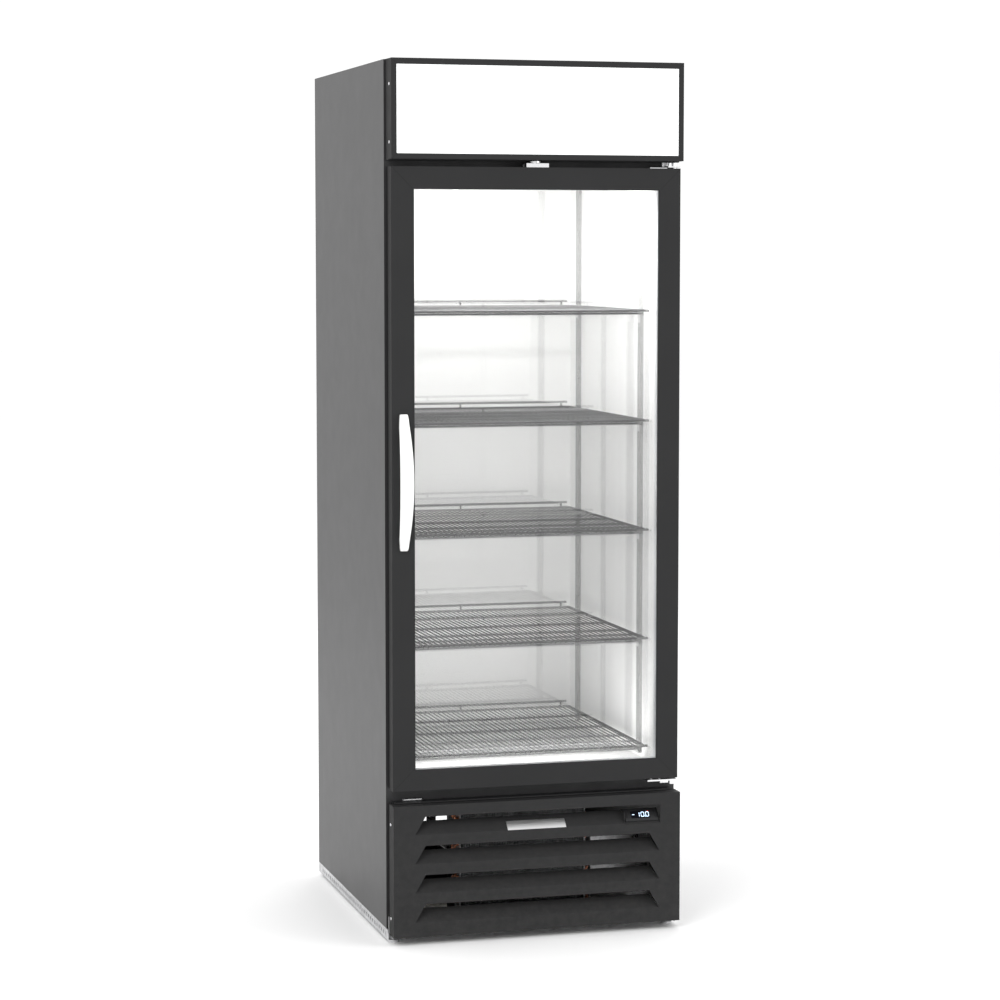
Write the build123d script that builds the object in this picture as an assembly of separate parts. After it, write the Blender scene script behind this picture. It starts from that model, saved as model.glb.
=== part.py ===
from build123d import *

import os
from math import hypot

# One-door glass merchandiser freezer, self-contained, bottom-mounted condensing unit.
# Working axes: X to the viewer's right, Y from the front plane of sign and grille to the
# rear, Z up from the floor.  place() moves everything so that Y is centred on the object.

os.makedirs("parts", exist_ok=True)

# ---------------------------------------------------------------- driving dimensions (mm)
WIDTH = 686.0
HEIGHT = 1982.0
BODY_FRONT = 57.0
BODY_REAR = 793.0
SKIN = 1.2
SIDE_BOTTOM = 30.0

FASCIA_W = 678.0
SIGN_BOTTOM = 1762.0
SIGN_DEPTH = 30.0
HEADER_LOW = 1760.0
GRILLE_BOTTOM = 19.0
GRILLE_TOP = 319.0
GRILLE_DEPTH = 42.0

DOOR_W = 674.0
DOOR_BOTTOM = 351.0
DOOR_TOP = 1746.0
DOOR_FRONT = 13.0
DOOR_REAR = 48.0
DOOR_FACE = 52.0
PANE_LIP = 4.0
PANE = 4.0
PANE_GAP = 16.0
REBATE = 12.0

LINER_HALF = 298.0
LINER_FLOOR = 375.0
LINER_TOP = 1925.0
LINER_REAR = 733.0
LINER_WALL = 1.5
CEILING = 1722.0

HINGE_X = 325.0
HINGE_Y = 22.0
PIN_R = 5.0
RUNNING = 0.05

SHELF_COUNT = 5
SHELF_TOP_Z = 1424.0
SHELF_PITCH = 252.5
SHELF_HALF = 288.5
SHELF_FRONT = 88.0
SHELF_REAR = 698.0
DECK = 6.0
FINGER = 3.0
FINGER_PITCH = 12.0
CROSS_Y = (91.0, 160.0, 243.0, 385.0, 545.0, 690.0)

PILASTER_FACE = 290.0
PILASTER_W = 20.0
PILASTER_Y = (167.0, 655.0)
SLOT_PITCH = 12.7

LOUVRE_PITCH = 66.7
LOUVRE_FIRST = 50.0
LOUVRE_H = 44.0
LOUVRE_DEPTH = 30.0
LOUVRE_BLADE_H = 28.0
LOUVRE_HALF = 290.5
LOUVRE_TOP_HALF = 265.0
LOUVRE_SHIFT = (0, -0.9, 1.6)
SHEET = 1.5

HANDLE_X = -311.5
HANDLE_LOW = 894.0
HANDLE_HIGH = 1199.0
HANDLE_REACH = 31.0

FOOT_X = 326.0
FOOT_Y = (58.0, 770.0)
PLATE_INNER = 250.0
CASTER_CENTRE = (290.0, 102.0)
CASTER_REAR = 725.0
CASTER_SPACING = (50.0, 70.0)
CASTER_HOLE_R = 4.25

COMPRESSOR = (70.0, 500.0)
LOCK_Y = 40.0
STRIKE_HALF = 4.5
GLAND_OUT = 14.0

# ---------------------------------------------------------------- derived values
HALF = WIDTH / 2
FASCIA_HALF = FASCIA_W / 2
DOOR_HALF = DOOR_W / 2
GLASS_HALF = DOOR_HALF - DOOR_FACE
PANE_FRONT = DOOR_FRONT + PANE_LIP
PANE_BACK = PANE_FRONT + 2 * PANE + PANE_GAP
GASKET = (DOOR_REAR, BODY_FRONT)
Y_MID = (BODY_REAR + GLAND_OUT - HANDLE_REACH) / 2
SHELF_Z = [SHELF_TOP_Z - SHELF_PITCH * k for k in range(SHELF_COUNT)]


# ---------------------------------------------------------------- helpers
def block(x0, x1, y0, y1, z0, z1):
    """A box given by its limits."""
    corner = (Align.MIN, Align.MIN, Align.MIN)
    return Pos(x0, y0, z0) * Box(x1 - x0, y1 - y0, z1 - z0, align=corner)


def frame_xz(outer, inner, y0, y1):
    """A picture frame in the XZ plane; outer and inner are (half width, bottom, top)."""
    solid = block(-outer[0], outer[0], y0, y1, outer[1], outer[2])
    return solid - block(-inner[0], inner[0], y0 - 1, y1 + 1, inner[1], inner[2])


def rod(start, end, radius):
    """A cylinder between two points."""
    start = Vector(*start)
    line = Vector(*end) - start
    base = (Align.CENTER, Align.CENTER, Align.MIN)
    return Plane(origin=start, z_dir=line) * Cylinder(radius, line.length, align=base)


def tube(points, bend, radius):
    """A round bar along straight runs joined by arcs."""
    path = FilletPolyline(*points, radius=bend)
    section = Plane(origin=path @ 0, z_dir=path % 0) * Circle(radius)
    return sweep(section, path=path)


def rectangle_wire(plane, x0, x1, y0, y1):
    corners = [(x0, y0), (x1, y0), (x1, y1), (x0, y1)]
    return Wire.make_polygon([plane.from_local_coords((x, y, 0)) for x, y in corners], close=True)


def pierced_plate(plane, outer, holes, thickness):
    """A plate with rectangular holes, extruded along the plane's normal."""
    inner = [rectangle_wire(plane, *hole) for hole in holes]
    face = Face(rectangle_wire(plane, *outer), inner)
    return extrude(face, amount=thickness, dir=plane.z_dir)


def polyhedron(points, faces):
    """A closed solid from its corner points and its faces' corner numbers."""
    shell = Shell([Face(Wire.make_polygon([points[i] for i in f], close=True)) for f in faces])
    return Solid(shell)


def mirrored(shape):
    """The same shape on the other side of the middle plane."""
    return mirror(shape, about=Plane.YZ)


def screw_head(position, direction, radius=4.5, height=2.2):
    """A pan head with a cross slot, standing on a face."""
    head = Cylinder(radius, height, align=(Align.CENTER, Align.CENTER, Align.MIN))
    head = fillet(head.edges().group_by(Axis.Z)[-1], height * 0.45)
    slot = Pos(0, 0, height) * Box(radius * 1.1, 1.0, 1.6)
    head = head - slot - Rot(0, 0, 90) * slot
    return Plane(origin=position, z_dir=direction) * head


def axial_fan(radius, hub_radius, width, bore, blades, pitch):
    """A fan about Z with its hub centred on the origin."""
    hub = Cylinder(hub_radius, width) - Cylinder(bore, width + 2)
    span = radius - hub_radius
    blade = Pos(hub_radius + span / 2 - 1, 0, 0) * Rot(pitch, 0, 0) * Box(span + 2, radius * 0.62, 2)
    blade = blade & Cylinder(radius, radius) - Cylinder(hub_radius - 1.5, radius + 2)
    fan = hub
    for k in range(blades):
        fan = fan + Rot(0, 0, 360 * k / blades) * blade
    return fan


def fin_block(x0, x1, y0, y1, z0, z1, pitch, thickness=1.0, spine=2.0):
    """A comb of upright fins on a common rear plate."""
    points = [(x0, y1), (x0, y0)]
    count = int((x1 - x0 - thickness) / pitch)
    step = (x1 - x0 - thickness) / count
    for k in range(count):
        left = x0 + k * step + thickness
        right = x0 + (k + 1) * step
        points += [(left, y0), (left, y1 - spine), (right, y1 - spine), (right, y0)]
    points += [(x1, y0), (x1, y1)]
    face = Face(Wire.make_polygon([(x, y, z0) for x, y in points], close=True))
    return extrude(face, amount=z1 - z0, dir=(0, 0, 1))


def place(name, *shapes):
    """Centre on Y and write one node."""
    moved = [Pos(0, -Y_MID, 0) * shape for shape in shapes]
    solids = [solid for shape in moved for solid in shape.solids()]
    result = solids[0] if len(solids) == 1 else Compound(children=solids)
    result.label = name
    export_step(result, f"parts/{name}.step")


# ---------------------------------------------------------------- cabinet shell
def side_panel():
    """Left outer skin with a return along its front edge, narrower beside the header."""
    skin = block(-HALF, -HALF + SKIN, BODY_FRONT, BODY_REAR, SIDE_BOTTOM, HEIGHT)
    lip = block(-HALF, -HALF + 15, BODY_FRONT, BODY_FRONT + SKIN, SIDE_BOTTOM, SIGN_BOTTOM - 2)
    narrow = block(-HALF, -FASCIA_HALF, BODY_FRONT, BODY_FRONT + SKIN, SIGN_BOTTOM - 2, HEIGHT)
    return skin + lip + narrow


def back_panel():
    """Rear skin with louvre slots over the machine compartment and a hole for the gland."""
    plane = Plane(origin=(0, BODY_REAR, 0), x_dir=(-1, 0, 0), z_dir=(0, 1, 0))
    holes = []
    for column in range(5):
        for row in range(9):
            x = -250 + 105 * column
            z = 70 + 24 * row
            if column > 0 or row > 4:
                holes.append((x, x + 80, z, z + 15))
    half = HALF - SKIN
    plate = pierced_plate(plane, (-half, half, SIDE_BOTTOM, HEIGHT - SKIN), holes, -SKIN)
    return plate - rod((210, BODY_REAR - 5, 110), (210, BODY_REAR + 5, 110), 10)


def top_panel():
    half = HALF - SKIN
    return block(-half, half, BODY_FRONT + 3, BODY_REAR, HEIGHT - SKIN, HEIGHT)


def inner_liner():
    """White inner tub, open at the front."""
    outer = LINER_HALF + LINER_WALL
    tub = block(-outer, outer, BODY_FRONT + 3, LINER_REAR + LINER_WALL,
                LINER_FLOOR - LINER_WALL, LINER_TOP + LINER_WALL)
    return tub - block(-LINER_HALF, LINER_HALF, BODY_FRONT, LINER_REAR, LINER_FLOOR, LINER_TOP)


def insulation():
    """Foam between the outer skins and the liner."""
    half = HALF - SKIN
    outer = LINER_HALF + LINER_WALL
    foam = block(-half, half, BODY_FRONT + 3, BODY_REAR - SKIN, 325, HEIGHT - SKIN)
    return foam - block(-outer, outer, BODY_FRONT, LINER_REAR + LINER_WALL,
                        LINER_FLOOR - LINER_WALL, LINER_TOP + LINER_WALL)


def front_frame():
    """Black breaker frame round the opening, with the sill ledge below it."""
    ring = frame_xz((328, 322, 1760), (LINER_HALF, LINER_FLOOR, CEILING), BODY_FRONT, BODY_FRONT + 3)
    ledge = block(-328, 328, 30, BODY_FRONT + 3, 320, 322)
    return ring + ledge


def header_panel():
    """Header behind the sign, open to the rear: a front sheet and four welded returns, the floor with
    the lock hole."""
    inner = FASCIA_HALF - SHEET
    back = SIGN_DEPTH + SHEET
    rear = BODY_FRONT + 3
    front = block(-FASCIA_HALF, FASCIA_HALF, SIGN_DEPTH, back, HEADER_LOW, HEIGHT)
    floor = block(-inner, inner, back, rear, HEADER_LOW, HEADER_LOW + SHEET)
    floor = floor - rod((0, LOCK_Y, HEADER_LOW - 5), (0, LOCK_Y, HEADER_LOW + 5), 8)
    top = block(-inner, inner, back, rear, HEIGHT - SHEET, HEIGHT)
    ends = [block(*sorted((s * inner, s * FASCIA_HALF)), back, rear, HEADER_LOW, HEIGHT) for s in (-1, 1)]
    return [front, floor, top, *ends]


def base_frame():
    """Side rails with a row of holes, the compartment pan and four corner plates."""
    rail_plane = Plane(origin=(-HALF, 0, 0), x_dir=(0, -1, 0), z_dir=(-1, 0, 0))
    pitch = 22.0
    holes = []
    for k in range(int((BODY_REAR - 70) / pitch)):
        y = 60 + pitch * k
        holes.append((-y - 7, -y, 14, 22))
    rail = pierced_plate(rail_plane, (-BODY_REAR, -44, 6, SIDE_BOTTOM), holes, -2)
    half = HALF - 2
    pan = block(-half, half, 44, BODY_REAR - SKIN, 26, 28)
    pan = pan + block(-half, half, 44, 46, 28, 60)
    frame = pan + rail + mirrored(rail)
    for sign in (-1, 1):
        for front in (True, False):
            y0, y1 = (46, 152) if front else (BODY_REAR - 110, BODY_REAR - 4)
            x0, x1 = sorted((sign * PLATE_INNER, sign * half))
            frame = frame + block(x0, x1, y0, y1, 22, 26)
    for x, y in foot_places():
        frame = frame - rod((x, y, 10), (x, y, 40), PIN_R + RUNNING)
    for x, y in caster_holes():
        frame = frame - rod((x, y, 10), (x, y, 40), CASTER_HOLE_R)
    return frame


def caster_centres():
    return [(s * CASTER_CENTRE[0], y) for s in (-1, 1) for y in (CASTER_CENTRE[1], CASTER_REAR)]


def caster_holes():
    dx, dy = CASTER_SPACING[0] / 2, CASTER_SPACING[1] / 2
    return [(x + i * dx, y + j * dy) for x, y in caster_centres() for i in (-1, 1) for j in (-1, 1)]


def foot_places():
    return [(s * FOOT_X, y) for y in FOOT_Y for s in (-1, 1)]


def levelling_foot():
    """Screw foot standing on the floor, axis on Z."""
    base = (Align.CENTER, Align.CENTER, Align.MIN)
    pad = Cylinder(12.5, 6, align=base)
    pad = chamfer(pad.edges().group_by(Axis.Z)[-1], 1.2)
    nut = Pos(0, 0, 6) * extrude(RegularPolygon(9, 6), amount=7)
    stem = Cylinder(PIN_R, SIDE_BOTTOM - 0.5, align=base)
    return pad + nut + stem


# ---------------------------------------------------------------- lit sign
def sign_frame():
    outer = (FASCIA_HALF, SIGN_BOTTOM, HEIGHT)
    window = (FASCIA_HALF - 12, SIGN_BOTTOM + 12, HEIGHT - 13.5)
    wall = (FASCIA_HALF - SHEET, SIGN_BOTTOM + SHEET, HEIGHT - SHEET)
    face = frame_xz(outer, window, 0, SHEET)
    rim = frame_xz(outer, wall, SHEET, SIGN_DEPTH)
    return face + rim


def sign_lens():
    edge = SHEET + 0.5
    return block(-FASCIA_HALF + edge, FASCIA_HALF - edge, SHEET, SHEET + 3,
                 SIGN_BOTTOM + edge, HEIGHT - edge)


def sign_light_bars():
    """Two lamp rails with a row of lamps on each."""
    bars = []
    for z in (1817, 1927):
        bar = block(-315, 315, 24, SIGN_DEPTH, z - 12, z + 12)
        for k in range(15):
            x = -294 + 42 * k
            bar = bar + block(x - 4, x + 4, 21.5, 24, z - 4, z + 4)
        bars.append(bar)
    return bars


# ---------------------------------------------------------------- door
def door_frame():
    """Hollow-backed frame with a rebate for the glass unit and two hinge bores."""
    outer = (DOOR_HALF, DOOR_BOTTOM, DOOR_TOP)
    sight = (GLASS_HALF, DOOR_BOTTOM + 47.5, DOOR_TOP - 50)
    rebate = (GLASS_HALF + REBATE, sight[1] - REBATE, sight[2] + REBATE)
    frame = frame_xz(outer, sight, DOOR_FRONT, PANE_FRONT)
    frame = frame + frame_xz(outer, rebate, PANE_FRONT, DOOR_REAR)
    channel = frame_xz((316, DOOR_BOTTOM + 6, DOOR_TOP - 6), (301, 372, 1724), 24, DOOR_REAR + 1)
    frame = frame - channel
    bottom = rod((HINGE_X, HINGE_Y, DOOR_BOTTOM - 1), (HINGE_X, HINGE_Y, DOOR_BOTTOM + 20), 8)
    top = rod((HINGE_X, HINGE_Y, DOOR_TOP - 20), (HINGE_X, HINGE_Y, DOOR_TOP + 1), 8)
    frame = frame - bottom - top
    edges = frame.edges().filter_by(Axis.Z).filter_by(lambda e: abs(abs(e.center().X) - DOOR_HALF) < 0.1)
    return fillet(edges.filter_by(lambda e: e.center().Y < DOOR_FRONT + 1), 2.0)


def pane(y_front):
    half = GLASS_HALF + REBATE - 0.5
    low = DOOR_BOTTOM + 47.5 - REBATE + 0.5
    high = DOOR_TOP - 50 + REBATE - 0.5
    return block(-half, half, y_front, y_front + PANE, low, high)


def glass_spacer():
    """Edge spacer and seal between the two panes."""
    half = GLASS_HALF + REBATE - 0.5
    low = DOOR_BOTTOM + 47.5 - REBATE + 0.5
    high = DOOR_TOP - 50 + REBATE - 0.5
    wide = REBATE - 0.5
    front = PANE_FRONT + PANE
    return frame_xz((half, low, high), (half - wide, low + wide, high - wide), front, front + PANE_GAP)


def door_gasket():
    """Magnetic gasket: a base with a rounded bellows towards the cabinet."""
    ring = frame_xz((318, 355, 1742), (300, 373, 1724), GASKET[0], GASKET[1])
    groove = frame_xz((312, 361, 1736), (306, 367, 1730), GASKET[0] + 2, GASKET[1] - 2.5)
    return ring - groove


def door_handle():
    """Bowed pull, widest in the middle, with two solid feet on the door."""
    middle = (HANDLE_LOW + HANDLE_HIGH) / 2
    face = DOOR_FRONT
    outer = ThreePointArc((0, HANDLE_LOW), (-HANDLE_REACH, middle), (0, HANDLE_HIGH))
    inner = ThreePointArc((face, HANDLE_HIGH - 26), (-HANDLE_REACH + 10, middle), (face, HANDLE_LOW + 26))
    ends = [Line(outer @ 1, (face, HANDLE_HIGH)), Line((face, HANDLE_HIGH), inner @ 0)]
    ends += [Line(inner @ 1, (face, HANDLE_LOW)), Line((face, HANDLE_LOW), outer @ 0)]
    side = make_face([outer, ends[0], ends[1], inner, ends[2], ends[3]])
    body = extrude(Plane.YZ * side, amount=20, both=True)
    low, high, wide = 9.0, 9.0, 15.5
    right = ThreePointArc((low, HANDLE_LOW - 1), (wide, middle), (high, HANDLE_HIGH + 1))
    left = ThreePointArc((-high, HANDLE_HIGH + 1), (-wide, middle), (-low, HANDLE_LOW - 1))
    outline = make_face([right, Line(right @ 1, left @ 0), left, Line(left @ 1, right @ 0)])
    mask = extrude(Plane(origin=(0, 60, 0), x_dir=(1, 0, 0), z_dir=(0, -1, 0)) * outline, amount=130)
    return Pos(HANDLE_X, 0, 0) * (body & mask)


def door_top_plates():
    """Folded strike that the lock bolt drops into, and the hinge plate, on the door's top edge."""
    front = block(-26, 26, 15, 17, DOOR_TOP, DOOR_TOP + 9)
    top = block(-26, 26, 15, 47.5, DOOR_TOP + 7, DOOR_TOP + 9)
    foot = block(-26, 26, 45.5, 47.5, DOOR_TOP, DOOR_TOP + 7)
    slot = block(-STRIKE_HALF, STRIKE_HALF, LOCK_Y - STRIKE_HALF, LOCK_Y + STRIKE_HALF,
                 DOOR_TOP + 6, DOOR_TOP + 10)
    plate = block(264, 305, 14, 42, DOOR_TOP, DOOR_TOP + 1.5)
    return [front + top + foot - slot, plate]


def hinge_bushes():
    """Nylon bushes in the door's two hinge bores."""
    low = rod((HINGE_X, HINGE_Y, DOOR_BOTTOM), (HINGE_X, HINGE_Y, DOOR_BOTTOM + 20), 8)
    low = low + rod((HINGE_X, HINGE_Y, DOOR_BOTTOM - 2.4), (HINGE_X, HINGE_Y, DOOR_BOTTOM), 9)
    low = low - rod((HINGE_X, HINGE_Y, DOOR_BOTTOM - 5), (HINGE_X, HINGE_Y, DOOR_BOTTOM + 21), PIN_R + RUNNING)
    high = rod((HINGE_X, HINGE_Y, DOOR_TOP - 20), (HINGE_X, HINGE_Y, DOOR_TOP), 8)
    high = high - rod((HINGE_X, HINGE_Y, DOOR_TOP - 21), (HINGE_X, HINGE_Y, DOOR_TOP + 1), PIN_R + RUNNING)
    return [low, high]


def hinge_bracket_top():
    """Bracket under the header with the upper hinge pin pointing down."""
    plate = block(306, 336, 10, BODY_FRONT, 1748, 1751)
    web = block(306, 336, 53, BODY_FRONT, 1751, 1760)
    pin = rod((HINGE_X, HINGE_Y, DOOR_TOP - 18), (HINGE_X, HINGE_Y, 1759), PIN_R)
    bolts = rod((312, 17, 1751), (312, 17, 1758), 3.2) + rod((332, 38, 1751), (332, 38, 1758), 3.2)
    return plate + web + pin + bolts


def hinge_bracket_bottom():
    """Bracket on the sill with the lower hinge pin pointing up and its head below."""
    plate = block(264, 338, 12, BODY_FRONT, 344.5, 348)
    leg = block(308, 338, 53, BODY_FRONT, 332, 344.5)
    pin = rod((HINGE_X, HINGE_Y, 340), (HINGE_X, HINGE_Y, DOOR_BOTTOM + 18), PIN_R)
    head = rod((HINGE_X, HINGE_Y, 336), (HINGE_X, HINGE_Y, 344.5), 7.5)
    return plate + leg + pin + head


def door_rest_plate():
    """Angle on the sill that the closed door's free corner rests on."""
    return block(-306, -264, 40, 56, 325.5, 327.5) + block(-306, -264, 52, 56, 322, 325.5)


# ---------------------------------------------------------------- key lock in the header
def lock_barrel():
    flange = rod((0, LOCK_Y, 1756.5), (0, LOCK_Y, 1760), 14)
    body = rod((0, LOCK_Y, 1760), (0, LOCK_Y, 1790), 8)
    return flange + body - rod((0, LOCK_Y, 1755), (0, LOCK_Y, 1791), 6 + RUNNING)


def lock_plug():
    """Turning plug with two key slots round the bolt."""
    plug = rod((0, LOCK_Y, 1757), (0, LOCK_Y, 1789), 6)
    plug = plug - rod((0, LOCK_Y, 1756), (0, LOCK_Y, 1790), 3 + RUNNING)
    return plug - block(-0.6, 0.6, LOCK_Y - 5.6, LOCK_Y + 5.6, 1756, 1759.5)


def lock_bolt():
    return rod((0, LOCK_Y, DOOR_TOP + 9.4), (0, LOCK_Y, 1796), 3)


# ---------------------------------------------------------------- interior
def pilaster(side, y, top):
    """Slotted upright on a side wall; side is -1 or 1."""
    web_plane = Plane(origin=(side * PILASTER_FACE, 0, 0), x_dir=(0, 1, 0), z_dir=(1, 0, 0))
    slots = []
    count = int((top - LINER_FLOOR - 40) / SLOT_PITCH)
    for k in range(count):
        z = LINER_FLOOR + 25 + SLOT_PITCH * k
        slots.append((y - 2.5, y + 2.5, z, z + 7.5))
    outer = (y - PILASTER_W / 2, y + PILASTER_W / 2, LINER_FLOOR + 10, top)
    channel = pierced_plate(web_plane, outer, slots, side * SKIN)
    x0, x1 = sorted((side * PILASTER_FACE, side * LINER_HALF))
    for y0 in (y - PILASTER_W / 2, y + PILASTER_W / 2 - SKIN):
        channel = channel + block(x0, x1, y0, y0 + SKIN, LINER_FLOOR + 10, top)
    return channel


def pilasters():
    tops = {PILASTER_Y[0]: 1603, PILASTER_Y[1]: 1716}
    return [pilaster(side, y, tops[y]) for y in PILASTER_Y for side in (-1, 1)]


def shelf_clips():
    """Steel clips that hook in the slots and carry the shelves' side bars."""
    clips = []
    for z in SHELF_Z:
        seat = z - DECK / 2
        for y in PILASTER_Y:
            tongue = block(279, PILASTER_FACE, y - 7, y + 7, seat - 3, seat)
            back = block(PILASTER_FACE - 1.4, PILASTER_FACE, y - 7, y + 7, seat - 26, seat)
            clips += [tongue + back, mirrored(tongue + back)]
    return clips


def shelf(z):
    """Wire deck of close fingers on cross bars, with a lower front bar and a raised rear rail."""
    low = z - DECK / 2
    plane = Plane(origin=(0, 0, low), x_dir=(1, 0, 0), z_dir=(0, 0, 1))
    inner_half = SHELF_HALF - 6
    count = int(2 * inner_half / FINGER_PITCH)
    pitch = (2 * inner_half + FINGER) / count
    holes = []
    for row in range(len(CROSS_Y) - 1):
        for k in range(count):
            x = -inner_half + pitch * k
            holes.append((x, x + pitch - FINGER, CROSS_Y[row] + 3, CROSS_Y[row + 1] - 3))
    outer = (-SHELF_HALF, SHELF_HALF, SHELF_FRONT, SHELF_REAR)
    deck = pierced_plate(plane, outer, holes, DECK)
    deck = deck + block(-272, 272, SHELF_FRONT, SHELF_FRONT + 6, low - 6, low)
    rail_y = SHELF_REAR - 3
    rail = rod((-276, rail_y, z + 13), (276, rail_y, z + 13), 3)
    for x in (-261, 0, 261):
        rail = rail + rod((x, rail_y, low), (x, rail_y, z + 13), 2.5)
    return deck + rail


def interior_light():
    """Lamp strip behind the left door jamb: a rail and its diffuser."""
    rail = block(-LINER_HALF, -292, 64, 82, 420, 1680)
    lens = block(-292, -287, 66, 80, 425, 1675)
    return [rail, lens]


def temperature_probe():
    """Domed probe cap hanging from the ceiling."""
    stem = rod((-79, 446, CEILING - 14), (-79, 446, CEILING - 2), 5)
    cap = Pos(-79, 446, CEILING - 16) * Sphere(10) & block(-95, -60, 430, 462, 1690, CEILING - 14)
    return stem + cap


# ---------------------------------------------------------------- evaporator section
def evaporator_cover():
    """Ceiling pan with the fan opening, its guard and the motor bridge."""
    y0, y1 = BODY_FRONT + 5, LINER_REAR
    low, high = CEILING - 2, CEILING
    plane = Plane(origin=(0, 0, low), x_dir=(1, 0, 0), z_dir=(0, 0, 1))
    slots = [(x, x + 40, 706, 724) for x in range(-270, 240, 54)]
    pan = pierced_plate(plane, (-296, 296, y0, y1), slots, high - low)
    pan = pan - Pos(0, 300, low) * Cylinder(102, 10)
    for radius in (40, 70, 99):
        ring = Cylinder(radius + 1.5, 3) - Cylinder(radius - 1.5, 4)
        pan = pan + Pos(0, 300, low - 1.5) * ring
    for angle in (0, 45, 90, 135):
        pan = pan + Pos(0, 300, low - 1.5) * Rot(0, 0, angle) * Box(216, 4, 3)
    for x in (-118, 114):
        pan = pan + block(x, x + 4, 290, 310, high, 1760)
    bridge = block(-118, 118, 290, 310, 1757, 1760) - Pos(0, 300, 1758) * Cylinder(5, 10)
    return pan + bridge


def evaporator_coil():
    """Finned coil on two end plates standing on the ceiling pan."""
    fins = fin_block(-220, 220, 590, 690, 1750, 1890, 10)
    ends = [block(x, x + 2, 588, 692, CEILING, 1895) for x in (-222, 220)]
    return fins + ends[0] + ends[1]


def fan_motors():
    """Evaporator motor above its bridge and condenser motor behind the shroud's strut."""
    upper = Pos(0, 300, 1760) * Cylinder(34, 52, align=(Align.CENTER, Align.CENTER, Align.MIN))
    upper = fillet(upper.edges().group_by(Axis.Z)[-1], 8)
    upper = upper + rod((0, 300, 1728), (0, 300, 1762), 3)
    lower = rod((-20, 216, 172), (-20, 270, 172), 38)
    lower = fillet(lower.edges().group_by(Axis.Y)[-1], 8)
    lower = lower + rod((-20, 168, 172), (-20, 218, 172), 3)
    return [upper, lower]


def evaporator_fan():
    return Pos(0, 300, 1740) * axial_fan(92, 22, 22, 3 + RUNNING, 5, 24)


# ---------------------------------------------------------------- condensing unit
def condenser_coil():
    fins = fin_block(-165, 130, 74, 118, 44, 296, 6)
    ends = [block(x, x + 2, 72, 120, 28, 300) for x in (-167, 130)]
    header = rod((-166, 70, 288), (131, 70, 288), 6)
    return fins + ends[0] + ends[1] + header


def condenser_shroud():
    """Box duct from coil to fan ring, with a strut that carries the motor."""
    duct = block(-167, 132, 120, 190, 40, 300) - block(-165, 130, 119, 188, 42, 298)
    duct = duct - rod((-20, 180, 172), (-20, 200, 172), 112)
    strut = block(-134, 94, 210, 216, 162, 182)
    for x in (-134, 90):
        strut = strut + block(x, x + 4, 190, 210, 162, 182)
    strut = strut - rod((-20, 200, 172), (-20, 220, 172), 5)
    feet = block(-167, 132, 186, 190, 28, 40)
    return duct + strut + feet


def condenser_fan():
    return Pos(-20, 178, 172) * Rot(90, 0, 0) * axial_fan(104, 24, 20, 3 + RUNNING, 5, 26)


def compressor():
    """Hermetic compressor: domed shell, open below, on a base plate with a terminal cover."""
    base = (Align.CENTER, Align.CENTER, Align.MIN)
    shell = Cylinder(84, 168, align=base)
    shell = fillet(shell.edges().group_by(Axis.Z)[-1], 42)
    inner = Cylinder(76, 160, align=base)
    inner = fillet(inner.edges().group_by(Axis.Z)[-1], 36)
    plate = Box(220, 180, 4, align=base)
    box = Pos(84, 0, 60) * Box(36, 60, 62, align=base)
    body = shell + plate + box - inner
    return Pos(*COMPRESSOR, 40) * body


def compressor_mounts():
    """Rubber grommets that belong with the compressor's base plate."""
    x0, y0 = COMPRESSOR
    return [rod((x0 + i, y0 + j, 28), (x0 + i, y0 + j, 40), 11) for i in (-90, 90) for j in (-72, 72)]


def refrigerant_lines():
    """Copper return bends at both ends of the coil and the two lines to the compressor."""
    bends = []
    for k in range(6):
        z = 66 + 38 * k
        for x, turn, lift in ((132, 0, 0), (-167, 180, 19)):
            arc = Torus(9.5, 3.6, major_angle=180, align=None)
            half = Rot(90, 0, 0) * Rot(0, 0, -90) * arc
            for y in (86, 106):
                bends.append(Pos(x, y, z + lift) * Rot(0, 0, turn) * half)
    x, y = COMPRESSOR
    run = [(x, y, 208), (x, y, 262), (x + 110, y, 262), (x + 110, y - 160, 262), (x + 110, y - 160, 325)]
    suction = tube(run, 18, 4.5)
    return bends + [suction]


def drip_pan():
    tray = block(-310, -70, 420, 660, 36, 92) - block(-307, -73, 423, 657, 39, 93)
    feet = [block(x, x + 10, 430, 650, 28, 36) for x in (-300, -90)]
    return tray + feet[0] + feet[1]


def electrical_box():
    """Junction box, open below, beside the fan shroud."""
    box = block(170, 310, 150, 300, 60, 200) - block(172, 308, 152, 298, 59, 198)
    leg = block(170, 172, 150, 300, 28, 60) + block(308, 310, 150, 300, 28, 60)
    return box + leg


def cable_gland():
    """Strain relief with its nut and a clear bore for a supply lead."""
    flange = rod((210, BODY_REAR, 110), (210, BODY_REAR + 4, 110), 15)
    dome = rod((210, BODY_REAR + 4, 110), (210, BODY_REAR + GLAND_OUT, 110), 9)
    body = rod((210, BODY_REAR - 12, 110), (210, BODY_REAR, 110), 10)
    nut = rod((210, BODY_REAR - 7.2, 110), (210, BODY_REAR - SKIN, 110), 14)
    return flange + dome + body + nut - rod((210, BODY_REAR - 20, 110), (210, BODY_REAR + 20, 110), 5)


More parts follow.
